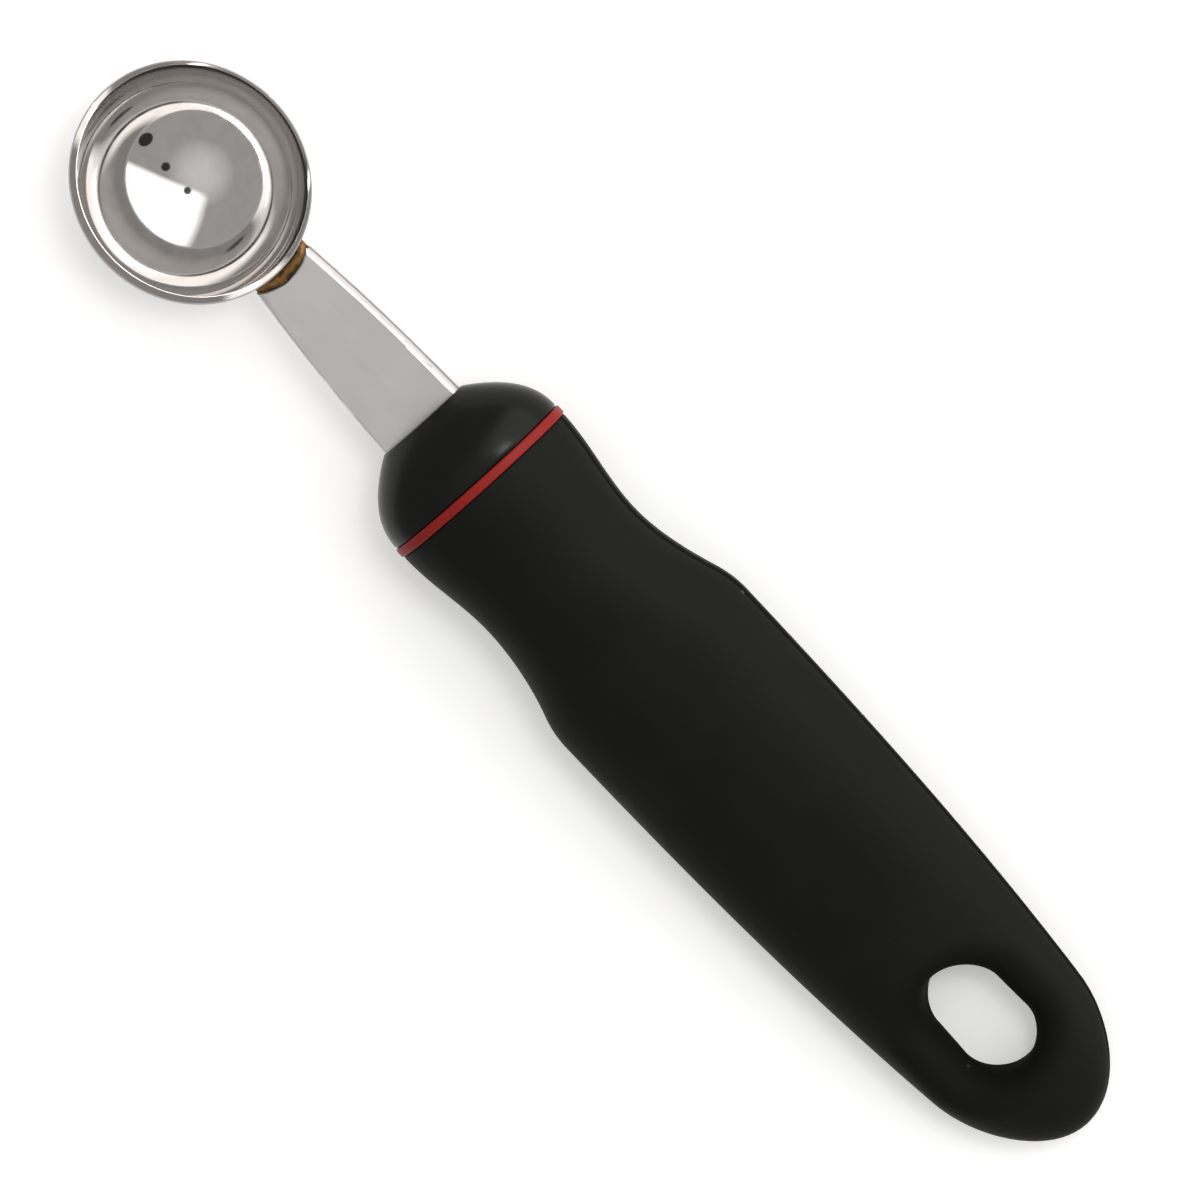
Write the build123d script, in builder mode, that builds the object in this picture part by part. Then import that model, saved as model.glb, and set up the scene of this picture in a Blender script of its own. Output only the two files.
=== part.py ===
"""Melon baller: a thin steel bowl brazed to a stamped shank, in a soft grip handle.

+X runs from the handle's tail to the bowl and +Z comes out of the bowl's mouth. The origin is on
the surface that the tool lies on, below the middle of its length. Sizes are in millimetres.
"""

import os
from math import cos, pi, sqrt

from build123d import *

# Cutting bowl, pressed from thin sheet, with its rim ground to an edge from the inside
bowl_rim_radius = 15.875
bowl_depth = 13.6
bowl_wall = 0.6
rim_land = 0.2
rim_grind_depth = 0.9

# Shank, a flat strip with rounded edges that is wider at the handle than at the bowl
shank_thickness = 2.5
shank_bowl_width = 9.0
shank_bolster_width = 12.8
shank_side_bow = 0.36
shank_edge_round = 0.5
shank_below_rim = 2.3
shank_reach = 42.0

# Braze between the shank's hollow end and the bowl's round wall
braze_width = 1.4
braze_arc_radius = 8.5
braze_bead = 0.2
braze_film = 0.02

# Tang, the strip's narrower end inside the handle
tang_length = 62.0
tang_width = 10.0
tang_shoulder_inset = 4.0
tang_shoulder_slope = 1.4
tang_corner_radius = 2.0
tang_hole_radius = 1.7
tang_hole_from_end = 8.0
tang_hole_from_spigot = 7.0

# Bolster, the rounded nose of the handle
bolster_length = 10.0
nose_width = 13.8
nose_height = 8.0
nose_round = 0.8
nose_above_strip = -0.2
spigot_length = 9.0
spigot_inset = 3.4

# Accent ring
ring_width = 1.3
ring_proud = 0.2

# Grip, measured from the ring's back face towards the tail
grip_length = 112.65
strip_above_base = 10.05
ring_end_width = 28.2
ring_end_height = 18.8
ring_end_below_strip = 0.45
waist_from_ring = 14.7
waist_width = 25.2
waist_height = 17.2
waist_below_strip = 0.5
shoulder_from_ring = 29.5
shoulder_width = 32.4
shoulder_height = 17.2
shoulder_power = 1.8
shoulder_ease = 2.0
tail_length = 30.65
cap_length = 15.25
cap_width = 26.2
cap_height = 12.3
taper_power = 2.2
tail_drop = 0.5

# Soft grip and the rigid core under it
grip_wall = 1.8
core_wall = 1.9
core_tail_gap = 5.5
core_rib = 1.6
core_pockets = 4
core_pocket_from_ring = 12.0
core_pocket_from_slot = 8.9
peg_radius = 1.55
peg_grip = 3.0
boss_radius = 4.0

# Hanging slot, measured to its middle, whose mouth opens in two slopes on both faces
slot_from_tail = 19.25
slot_length = 17.0
slot_width = 12.5
slot_straight = 6.6
slot_lining = 1.6
lip_height = 0.8
lip_lean = 20
mouth_height = 5.0
mouth_lean = 50

# Clearances
fit_gap = 0.1
bond_gap = 0.05

# Heights: the bowl's bottom and the grip's base touch the same surface
bowl_sphere_radius = (bowl_rim_radius**2 + bowl_depth**2) / (2 * bowl_depth)
shank_top_z = bowl_depth - shank_below_rim
shank_bottom_z = shank_top_z - shank_thickness
strip_z = shank_top_z - shank_thickness / 2
nose_z = strip_z + nose_above_strip
ring_z = strip_z - ring_end_below_strip
waist_z = strip_z - waist_below_strip
base_z = strip_z - strip_above_base

# Places along the tool
overall_length = grip_length + ring_width + bolster_length + shank_reach + bowl_rim_radius
tail_x = -overall_length / 2
ring_back_x = tail_x + grip_length
ring_front_x = ring_back_x + ring_width
nose_x = ring_front_x + bolster_length
bowl_x = nose_x + shank_reach
braze_x = bowl_x - bowl_rim_radius - braze_width
tang_end_x = nose_x - tang_length
tail_from_ring = grip_length - tail_length
cap_from_ring = grip_length - cap_length
slot_from_ring = grip_length - slot_from_tail
slot_x = ring_back_x - slot_from_ring
core_end = grip_length - core_tail_gap

# Places of the slices, as shares of the stretch that each one lies on
even_shares = (0.0, 0.25, 0.5, 0.75, 1.0)
tail_shares = (0.0, 0.17, 0.34, 0.5, 0.65, 0.78, 0.88, 0.95)
dome_shares = (0.0, 0.25, 0.5, 0.75, 1.0)


def blend(start, end, share):
    """Value a share of the way from start to end."""
    return start + (end - start) * share


def handle_curve(distance):
    """Half width, half height and middle height of the grip at a distance behind the ring.

    A cosine wave narrows the grip from the ring to the waist, a power curve flares it to the
    shoulder, another tapers it to the tail, and half an ellipse closes the last stretch.
    """
    if distance < waist_from_ring:
        share = (1 - cos(pi * distance / waist_from_ring)) / 2
        width = blend(ring_end_width, waist_width, share)
        height = blend(ring_end_height, waist_height, share)
        middle = blend(ring_z, waist_z, share)
    elif distance < shoulder_from_ring:
        along = (distance - waist_from_ring) / (shoulder_from_ring - waist_from_ring)
        width = blend(waist_width, shoulder_width, along**shoulder_power)
        height = blend(waist_height, shoulder_height, along)
        middle = blend(waist_z, base_z + shoulder_height / 2, (1 - cos(pi * along)) / 2)
    else:
        along = (distance - shoulder_from_ring) / (cap_from_ring - shoulder_from_ring)
        width = blend(shoulder_width, cap_width, along**taper_power)
        height = blend(shoulder_height, cap_height, along)
        middle = base_z + height / 2
    if distance > cap_from_ring:
        along = (distance - cap_from_ring) / (grip_length - cap_from_ring)
        closing = sqrt(1 - along**2)
        width *= closing
        height *= closing
        middle = base_z + cap_height / 2 - tail_drop * along
    return width / 2, height / 2, middle


def handle_size(distance):
    """The same three sizes with the shoulder rounded by a parabola."""
    start = shoulder_from_ring - shoulder_ease
    end = shoulder_from_ring + shoulder_ease
    if not start < distance < end:
        return handle_curve(distance)
    share = (distance - start) / (end - start)
    return tuple(
        blend(blend(before, corner, share), blend(corner, after, share), share)
        for before, corner, after in zip(*map(handle_curve, (start, shoulder_from_ring, end)))
    )


def cross_plane(x, z):
    """Plane across the tool, with its local x to the side and its local y up."""
    return Plane(origin=(x, 0, z), x_dir=(0, 1, 0), z_dir=(1, 0, 0))


def oval_section(distance, inset=0):
    """Oval slice of the grip, drawn in by an inset."""
    half_width, half_height, middle = handle_size(distance)
    with BuildSketch(cross_plane(ring_back_x - distance, middle)) as section:
        Ellipse(half_width - inset, half_height - inset)
    return section.sketch


def handle_body(inset, end):
    """The handle's own shape, drawn in by an inset and ended square, or at its tip if it is whole."""
    turns = (
        0,
        waist_from_ring,
        shoulder_from_ring - shoulder_ease,
        shoulder_from_ring + shoulder_ease,
        tail_from_ring,
    )
    with BuildPart() as body:
        for near, far in zip(turns, turns[1:]):
            loft(sections=[oval_section(blend(near, far, share), inset) for share in even_shares])
        if end < grip_length:
            loft(sections=[oval_section(blend(tail_from_ring, end, share), inset) for share in even_shares])
        else:
            tail = [oval_section(blend(tail_from_ring, end, share)) for share in tail_shares]
            loft(sections=tail + [Vertex(tail_x, 0, base_z + cap_height / 2 - tail_drop)])
    return body.part


def slot_tool(grow, drop):
    """Cutter for the hanging slot and its two open mouths, grown sideways and sunk by a drop."""
    middle = handle_size(slot_from_ring)[2]
    half = slot_straight / 2 - drop
    with BuildPart() as tool:
        with BuildSketch(Plane.XY.offset(middle)):
            with Locations((slot_x, 0)):
                SlotOverall(slot_length + 2 * grow, slot_width + 2 * grow)
        extrude(amount=half, both=True)
        for step, lean in ((lip_height, lip_lean), (mouth_height, mouth_lean)):
            for side in (Axis.Z, -Axis.Z):
                mouth = tool.faces().sort_by(side)[-1]
                extrude(mouth, amount=step, taper=-lean)
    return tool.part


slot_cut = slot_tool(0, 0)
core_slot_cut = slot_tool(slot_lining, grip_wall)
bore_slot_cut = slot_tool(slot_lining - bond_gap, grip_wall - bond_gap)

# Plan of the shank and its tang
side_middle = ((braze_x + nose_x) / 2, (shank_bowl_width + shank_bolster_width) / 4 + shank_side_bow)
end_half_width = shank_bowl_width / 2
end_corner_x = braze_x + braze_arc_radius - sqrt(braze_arc_radius**2 - end_half_width**2)
tang_shoulder_x = nose_x - tang_shoulder_inset
tang_start_x = tang_shoulder_x - tang_shoulder_slope

with BuildSketch() as shank_plan:
    with BuildLine():
        ThreePointArc((end_corner_x, end_half_width), side_middle, (nose_x, shank_bolster_width / 2))
        Polyline(
            (nose_x, shank_bolster_width / 2),
            (tang_shoulder_x, shank_bolster_width / 2),
            (tang_start_x, tang_width / 2),
            (tang_end_x, tang_width / 2),
            (tang_end_x, 0),
        )
        mirror(about=Plane.XZ)
        ThreePointArc((end_corner_x, -end_half_width), (braze_x, 0), (end_corner_x, end_half_width))
    make_face()
    tail_corners = shank_plan.vertices().group_by(Axis.X)[0]
    fillet([v for v in tail_corners if abs(v.Y) > tang_corner_radius], radius=tang_corner_radius)

with BuildPart() as shank:
    with BuildSketch(Plane.XY.offset(shank_bottom_z)):
        add(shank_plan.sketch)
    extrude(amount=shank_thickness)
    long_edges = shank.edges().filter_by(Plane.XY).filter_by(lambda e: e.center().X < braze_x)
    fillet(long_edges, radius=shank_edge_round)
    back_hole_x = tang_end_x + tang_hole_from_end
    front_hole_x = ring_front_x - spigot_length - tang_hole_from_spigot
    with Locations((back_hole_x, 0, shank_top_z), (front_hole_x, 0, shank_top_z)):
        Hole(tang_hole_radius)

shank.part.label = "shank"

with BuildPart() as shank_pocket:
    with BuildSketch(Plane.XY.offset(shank_bottom_z - fit_gap)):
        add(shank_plan.sketch)
        offset(amount=fit_gap)
    extrude(amount=shank_thickness + 2 * fit_gap)

with BuildPart() as bowl:
    inner_radius = bowl_sphere_radius - bowl_wall
    rim_below_centre = bowl_sphere_radius - bowl_depth
    inner_rim = sqrt(inner_radius**2 - (rim_below_centre + rim_grind_depth) ** 2)
    diagonal = sqrt(0.5)
    with BuildSketch(Plane(origin=(bowl_x, 0, 0), x_dir=(1, 0, 0), z_dir=(0, -1, 0))):
        with BuildLine():
            ThreePointArc(
                (0, 0),
                (bowl_sphere_radius * diagonal, bowl_sphere_radius * (1 - diagonal)),
                (bowl_rim_radius, bowl_depth),
            )
            Polyline(
                (bowl_rim_radius, bowl_depth),
                (bowl_rim_radius - rim_land, bowl_depth),
                (inner_rim, bowl_depth - rim_grind_depth),
            )
            ThreePointArc(
                (inner_rim, bowl_depth - rim_grind_depth),
                (inner_radius * diagonal, bowl_sphere_radius - inner_radius * diagonal),
                (0, bowl_wall),
            )
            Line((0, bowl_wall), (0, 0))
        make_face()
    revolve(axis=Axis((bowl_x, 0, 0), (0, 0, 1)))

bowl.part.label = "bowl"

with BuildPart() as braze_joint:
    half_bead = end_half_width + braze_bead
    bead_x = braze_x + braze_arc_radius - sqrt(braze_arc_radius**2 - half_bead**2)
    with BuildSketch(Plane.XY.offset(shank_bottom_z - braze_bead)):
        with BuildLine():
            ThreePointArc((bead_x, -half_bead), (braze_x + braze_film, 0), (bead_x, half_bead))
            Polyline((bead_x, half_bead), (bowl_x, half_bead), (bowl_x, -half_bead), (bead_x, -half_bead))
        make_face()
    extrude(amount=shank_thickness + braze_bead + braze_bead)
    with Locations((bowl_x, 0, bowl_sphere_radius)):
        Sphere(bowl_sphere_radius + braze_film, mode=Mode.SUBTRACT)

braze_joint.part.label = "braze_joint"

ring_half_width, ring_half_height, ring_middle = handle_size(0)
spigot_half_width = ring_half_width - spigot_inset
spigot_half_height = ring_half_height - spigot_inset

with BuildPart() as bolster:
    for share in dome_shares:
        fullness = 1 - share**2
        dome_x = blend(ring_front_x, nose_x, share)
        with BuildSketch(cross_plane(dome_x, blend(nose_z, ring_middle, fullness))):
            Ellipse(
                blend(nose_width / 2, ring_half_width, fullness),
                blend(nose_height / 2, ring_half_height, fullness),
            )
    loft()
    fillet(bolster.faces().sort_by(Axis.X)[-1].edges(), radius=nose_round)
    with BuildSketch(cross_plane(ring_front_x, ring_middle)):
        Ellipse(spigot_half_width, spigot_half_height)
    extrude(amount=-spigot_length)
    add(shank_pocket.part, mode=Mode.SUBTRACT)

bolster.part.label = "bolster"

with BuildPart() as accent_ring:
    with BuildSketch(cross_plane(ring_back_x + fit_gap / 2, ring_middle)):
        Ellipse(ring_half_width + ring_proud, ring_half_height + ring_proud)
        Ellipse(spigot_half_width + fit_gap, spigot_half_height + fit_gap, mode=Mode.SUBTRACT)
    extrude(amount=ring_width - fit_gap)

accent_ring.part.label = "accent_ring"

# The core's two halves meet on a plane through the grip's middle at the shoulder and at the slot,
# but across the tang they meet at the tang's own height
shoulder_x = ring_back_x - shoulder_from_ring
slot_z = handle_size(slot_from_ring)[2]
split_slope = (base_z + shoulder_height / 2 - slot_z) / (shoulder_x - slot_x)
split_front_z = slot_z + split_slope * (ring_front_x - slot_x)
split_back_z = slot_z - split_slope * (slot_x - tail_x)
peg_places = Locations((back_hole_x, 0, strip_z), (front_hole_x, 0, strip_z))

with BuildPart() as lower_room:
    with BuildSketch(Plane.XZ):
        with BuildLine():
            Polyline(
                (ring_front_x, base_z - ring_end_height),
                (ring_front_x, split_front_z),
                (tail_x, split_back_z),
                (tail_x, base_z - ring_end_height),
                (ring_front_x, base_z - ring_end_height),
            )
        make_face()
    extrude(amount=shoulder_width, both=True)
    with BuildSketch(Plane.XY.offset(strip_z)) as channel:
        add(shank_plan.sketch)
        offset(amount=fit_gap)
    extrude(amount=ring_end_height, mode=Mode.SUBTRACT)
    extrude(channel.sketch, amount=-ring_end_height)

with BuildPart() as core_hollow:
    pocket_end = slot_from_ring - slot_length / 2 - core_pocket_from_slot
    pocket_pitch = (pocket_end - core_pocket_from_ring + core_rib) / core_pockets
    for index in range(core_pockets):
        near = core_pocket_from_ring + index * pocket_pitch
        far = near + pocket_pitch - core_rib
        loft(sections=[oval_section(d, grip_wall + core_wall) for d in (near, far)])
    with peg_places:
        Cylinder(boss_radius, ring_end_height, mode=Mode.SUBTRACT)

with BuildPart() as core:
    add(handle_body(grip_wall, core_end))
    with BuildSketch(cross_plane(ring_back_x, ring_middle)):
        Ellipse(spigot_half_width + fit_gap, spigot_half_height + fit_gap)
    extrude(amount=-spigot_length - fit_gap, mode=Mode.SUBTRACT)
    add(core_hollow.part, mode=Mode.SUBTRACT)
    add(core_slot_cut, mode=Mode.SUBTRACT)
    add(shank_pocket.part, mode=Mode.SUBTRACT)

with BuildPart() as core_lower:
    add(core.part)
    add(lower_room.part, mode=Mode.INTERSECT)
    with peg_places:
        Cylinder(peg_radius, shank_thickness + 2 * peg_grip)

core_lower.part.label = "core_lower"

with BuildPart() as core_upper:
    add(core.part)
    add(lower_room.part, mode=Mode.SUBTRACT)
    with peg_places:
        Cylinder(peg_radius + fit_gap, shank_thickness + 2 * (peg_grip + fit_gap), mode=Mode.SUBTRACT)

core_upper.part.label = "core_upper"

with BuildPart() as grip_bore:
    add(handle_body(grip_wall - bond_gap, core_end + bond_gap))
    add(bore_slot_cut, mode=Mode.SUBTRACT)

with BuildPart() as grip_sleeve:
    add(handle_body(0, grip_length))
    add(grip_bore.part, mode=Mode.SUBTRACT)
    add(slot_cut, mode=Mode.SUBTRACT)

grip_sleeve.part.label = "grip_sleeve"

os.makedirs("parts", exist_ok=True)
for piece in (bowl, braze_joint, shank, bolster, accent_ring, core_lower, core_upper, grip_sleeve):
    export_step(piece.part, f"parts/{piece.part.label}.step")
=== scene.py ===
"""Studio scene of a melon baller: its frame is the CAD model, and each surface gets its real finish.

Sizes are in millimetres until grid_piece turns them into metres. +X runs from the tail to the bowl.
"""

from math import cos, pi, radians, sin

import bmesh
import bpy
import numpy as np
from mathutils import Matrix, Vector


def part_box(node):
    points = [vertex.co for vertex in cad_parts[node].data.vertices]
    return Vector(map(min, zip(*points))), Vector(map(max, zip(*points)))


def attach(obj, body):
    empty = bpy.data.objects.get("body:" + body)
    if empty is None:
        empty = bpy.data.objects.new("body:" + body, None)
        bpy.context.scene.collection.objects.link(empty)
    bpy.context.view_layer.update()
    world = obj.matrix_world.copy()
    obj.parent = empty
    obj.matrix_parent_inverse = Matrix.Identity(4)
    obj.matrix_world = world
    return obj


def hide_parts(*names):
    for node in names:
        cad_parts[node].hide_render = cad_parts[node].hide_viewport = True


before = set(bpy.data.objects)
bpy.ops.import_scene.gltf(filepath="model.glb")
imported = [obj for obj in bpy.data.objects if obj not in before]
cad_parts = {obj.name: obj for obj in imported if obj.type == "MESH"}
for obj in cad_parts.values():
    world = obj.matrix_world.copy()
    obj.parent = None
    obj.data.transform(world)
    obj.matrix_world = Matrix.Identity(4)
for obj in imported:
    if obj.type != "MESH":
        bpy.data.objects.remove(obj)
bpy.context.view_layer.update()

MM = 0.001
WELD = 0.002
SHARP_ANGLE = 35.0
ROUNDED_ANGLE = 52.5
TINY = 1e-9

# Clearances where pieces are bonded and where they fit
BOND_GAP = 0.05
FIT_GAP = 0.1

# A corner rounded in three points has its middle one this share of the radius inside both faces
CORNER_SHARE = 0.3

# Bowl
BOWL_RIM_RADIUS = 15.875
BOWL_DEPTH = 13.6
BOWL_WALL = 0.6
BOWL_OUTER = (BOWL_RIM_RADIUS**2 + BOWL_DEPTH**2) / (2 * BOWL_DEPTH)
RIM_LAND = 0.2
RIM_GRIND_DEPTH = 0.9
RIM_BREAK = 0.06
BOWL_ARC_ROWS = 90
GRIND_ROWS = 10
BOWL_COLUMNS = 256

# Strip, where it meets the bowl
STRIP_TOP = 11.3
STRIP_BOTTOM = 8.8
STRIP_END_HALF_WIDTH = 4.5
# Painted shade on the strip's side, below the middle of its height
SIDE_SHADE_GREY = "#B0ABA8"

# Braze
BRAZE_WIDTH = 1.4
BRAZE_ARC_RADIUS = 8.5
BRAZE_OVERHANG = 0.12
BRAZE_SINK = 0.02
BRAZE_END_POWER = 6
BRAZE_SPREAD = 0.16
BRAZE_WAVE_HEIGHT = 0.14
BRAZE_WAVE_TURN = 7.0
BRAZE_WAVE_START = 0.8
BRAZE_CLIMB = 0.55
BRAZE_UNDER_CLIMB = 0.33
BRAZE_CLIMB_POWER = 2.6
BRAZE_LIFT = 0.05
BRAZE_SAG = 0.16
BRAZE_COLUMNS = 61
BRAZE_ROWS = 15
BRAZE_WALL_ROWS = 6

# Bolster
NOSE_HALF_WIDTH = 6.9
NOSE_HALF_HEIGHT = 4.0
NOSE_ROUND = 0.8
NOSE_Z = 9.85
NOSE_SLOPE = 56.0
NOSE_CLEAR = 0.05
DOME_POWER = 2.2
DOME_SPACING = 1.15
DOME_EDGE = 0.25
SPIGOT_LENGTH = 9.0
SPIGOT_INSET = 3.4
POCKET_HALF_WIDTH = 6.5
POCKET_HALF_HEIGHT = 1.35
POCKET_Z = 10.05
POCKET_POWER = 8.0
POCKET_MOUTH = 0.12
POCKET_FROM_NOSE = np.array([0.12, 1.0, 3.9])
TANG_POCKET_FROM_NOSE = 5.4
TANG_POCKET_HALF_WIDTH = 5.1
DOME_ROWS = 56
NOSE_ROWS = 14
NOSE_FACE_ROWS = 6
BOLSTER_COLUMNS = 192

# Ring
RING_WIDTH = 1.35
RING_PROUD = 0.2
RING_EDGE = 0.28
RING_CORNER_ROWS = 8
RING_COLUMNS = 256

# Grip: half width, half height and middle height at four places behind the ring's back face
GRIP_LENGTH = 112.65
RING_END = (14.1, 9.4, 9.6)
WAIST = (12.6, 8.6, 9.55)
SHOULDER = (16.08, 8.6, 8.6)
CAP = (13.2, 6.15, 6.15)
WAIST_FROM_RING = 14.7
SHOULDER_FROM_RING = 29.5
SHOULDER_POWER = 1.8
SHOULDER_EASE = 2.6
CAP_FROM_RING = 97.4
TAPER_POWER = 2.6
GRIP_WALL = 1.8
GRIP_EDGE = 0.22
PARTING_RIDGE = 0.12
CORE_END = 107.2

# Places of the ovals on the grip's rounded front edge, where the others begin behind it, the gap
# that they keep before the windows, and how many there are
EDGE_PLACES = [0.0, 0.02, 0.06, 0.12, 0.2]
EDGE_END = 0.5
WINDOW_GAP = 0.5
FRONT_ROWS = 112
WINDOW_ROWS = 39
TAIL_ROWS = 25
GRIP_COLUMNS = 160
BORE_FRONT_ROWS = 50
BORE_WINDOW_ROWS = 24
BORE_COLUMNS = 96

# Hanging slot, and the windows in the grip's surface that it is worked into
SLOT_FROM_RING = 92.9
SLOT_HALF_STRAIGHT = 2.68
SLOT_WALL = 5.42
SLOT_LIP = 4.0
SLOT_CORE_WALL = 8.5
SLOT_CORE_LIP = 0.4
WINDOW_SHARE = 0.19
WINDOW_START = 80.0
WINDOW_END = 107.0
CORE_WINDOW_END = 104.6
RUN_ROWS = 8
LIP_ROWS = 13
WALL_ROWS = 6
LIP_PROBE = 0.05
LIP_TRIES = 4

# Places along the tool, from the frame
bowl_low, bowl_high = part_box("bowl")
BOWL_X = (bowl_low[0] + bowl_high[0]) / 2 / MM
RING_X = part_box("accent_ring")[0][0] / MM
GRIP_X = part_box("grip_sleeve")[1][0] / MM
NOSE_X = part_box("bolster")[1][0] / MM
BRAZE_X = BOWL_X - BOWL_RIM_RADIUS - BRAZE_WIDTH


def blend(start, end, share):
    """Value a share of the way from start to end."""
    return start + (end - start) * share


def eased(share):
    """A share that starts and stops gently, along half a cosine wave."""
    return (1 - np.cos(pi * share)) / 2


def between(count):
    """Evenly spaced shares between 0 and 1, without those two."""
    return np.linspace(0, 1, count + 2)[1:-1]


def full_turn(count):
    """Evenly spaced angles once round."""
    return np.linspace(0, 2 * pi, count + 1)[:-1]


def arc_points(centre, radius, start, end, count):
    """Points on a circle's arc between two angles in degrees."""
    turn = np.radians(np.linspace(start, end, count))
    return np.stack([centre[0] + radius * np.cos(turn), centre[1] + radius * np.sin(turn)], axis=1)


def oval_rows(x, half_width, half_height, middle, turn):
    """Points of ovals across the tool, a row for each place along it, at one array of angles."""
    sizes = np.broadcast_arrays(x, half_width, half_height, middle)
    x, half_width, half_height, middle = (size[:, None] for size in sizes)
    y = half_width * np.cos(turn)
    z = middle + half_height * np.sin(turn)
    return np.stack([x + 0 * turn, y, z], axis=-1)


def pocket_rows(x, grow, turn):
    """Points of the strip's pocket, an oblong with rounded corners, at the same angles as the ovals."""
    c, s = np.cos(turn), np.sin(turn)
    reach = (np.abs(c) ** POCKET_POWER + np.abs(s) ** POCKET_POWER) ** (-1 / POCKET_POWER)
    y = (POCKET_HALF_WIDTH + grow) * c * reach
    z = POCKET_Z + (POCKET_HALF_HEIGHT + grow) * s * reach
    return np.stack([np.stack([place + 0 * turn, y, z], axis=-1) for place in x])


def grid_faces(rows, columns, first=0, wrap_rows=False, wrap_columns=False):
    """Quads of a grid of vertices that are stored row by row, closed round in either direction."""
    index = first + np.arange(rows * columns).reshape(rows, columns)
    if wrap_rows:
        index = np.vstack([index, index[:1]])
    if wrap_columns:
        index = np.hstack([index, index[:, :1]])
    quads = np.stack([index[:-1, :-1], index[:-1, 1:], index[1:, 1:], index[1:, :-1]], axis=-1)
    return quads.reshape(-1, 4)


def add_object(name, data):
    """A new object in the scene."""
    item = bpy.data.objects.new(name, data)
    bpy.context.collection.objects.link(item)
    return item


def add_piece(name, mesh, node):
    """An object that rides on the tool's one body and takes a frame node's place."""
    piece = add_object(name, mesh)
    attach(piece, "root")
    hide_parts(node)
    return piece


def weld_seams(mesh, outwards):
    """Welds a mesh's seams, turns its faces outwards where asked, and shades it smooth."""
    shape = bmesh.new()
    shape.from_mesh(mesh)
    bmesh.ops.remove_doubles(shape, verts=shape.verts, dist=WELD * MM)
    bmesh.ops.dissolve_degenerate(shape, dist=WELD * MM / 2, edges=shape.edges)
    if outwards:
        bmesh.ops.recalc_face_normals(shape, faces=shape.faces)
    shape.to_mesh(mesh)
    shape.free()
    mesh.shade_smooth()


def grid_piece(name, vertices, faces, node, attributes=None):
    """A smooth-shaded piece from vertices in millimetres, with its sharp edges marked."""
    mesh = bpy.data.meshes.new(name)
    mesh.from_pydata((np.asarray(vertices) * MM).tolist(), [], [list(face) for face in faces])
    for title, values in (attributes or {}).items():
        layer = mesh.attributes.new(title, "FLOAT", "POINT")
        layer.data.foreach_set("value", np.asarray(values, dtype=np.float32).ravel())
    weld_seams(mesh, outwards=True)
    mesh.set_sharp_from_angle(angle=radians(SHARP_ANGLE))
    return add_piece(name, mesh, node)


def closed_rows(name, rows, node):
    """A piece from rows of points that close round the tool and close on each other."""
    surface = np.concatenate(rows)
    faces = grid_faces(*surface.shape[:2], wrap_rows=True, wrap_columns=True)
    return grid_piece(name, surface.reshape(-1, 3), faces, node)


def make_bowl():
    """Pressed bowl: its profile (an outer arc, a rim with softened corners, a ground slope and an
    inner arc) turned about the vertical axis."""
    inner = BOWL_OUTER - BOWL_WALL
    rim_angle = np.degrees(np.arctan2(BOWL_DEPTH - BOWL_OUTER, BOWL_RIM_RADIUS))
    grind_z = BOWL_DEPTH - RIM_GRIND_DEPTH
    grind_angle = np.degrees(np.arcsin((grind_z - BOWL_OUTER) / inner))
    outside = arc_points((0, BOWL_OUTER), BOWL_OUTER, -90, rim_angle, BOWL_ARC_ROWS)
    inside = arc_points((0, BOWL_OUTER), inner, grind_angle, -90, BOWL_ARC_ROWS)
    soft = RIM_BREAK * CORNER_SHARE
    land = np.array([
        (BOWL_RIM_RADIUS - soft, BOWL_DEPTH - soft),
        (BOWL_RIM_RADIUS - RIM_BREAK, BOWL_DEPTH),
        (BOWL_RIM_RADIUS - RIM_LAND + RIM_BREAK, BOWL_DEPTH),
        (BOWL_RIM_RADIUS - RIM_LAND, BOWL_DEPTH - soft),
    ])
    outside[-1] = (BOWL_RIM_RADIUS, BOWL_DEPTH - RIM_BREAK)
    slope = blend(land[-1], inside[0], between(GRIND_ROWS)[:, None])
    profile = np.vstack([outside, land, slope, inside])
    turn = full_turn(BOWL_COLUMNS)
    radius, height = profile[:, :1], profile[:, 1:]
    x = BOWL_X + radius * np.cos(turn)
    y = radius * np.sin(turn)
    vertices = np.stack([x, y, height + 0 * turn], axis=-1).reshape(-1, 3)
    faces = grid_faces(len(profile), len(turn), wrap_columns=True)
    return grid_piece("bowl_shell", vertices, faces, "bowl")


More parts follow.
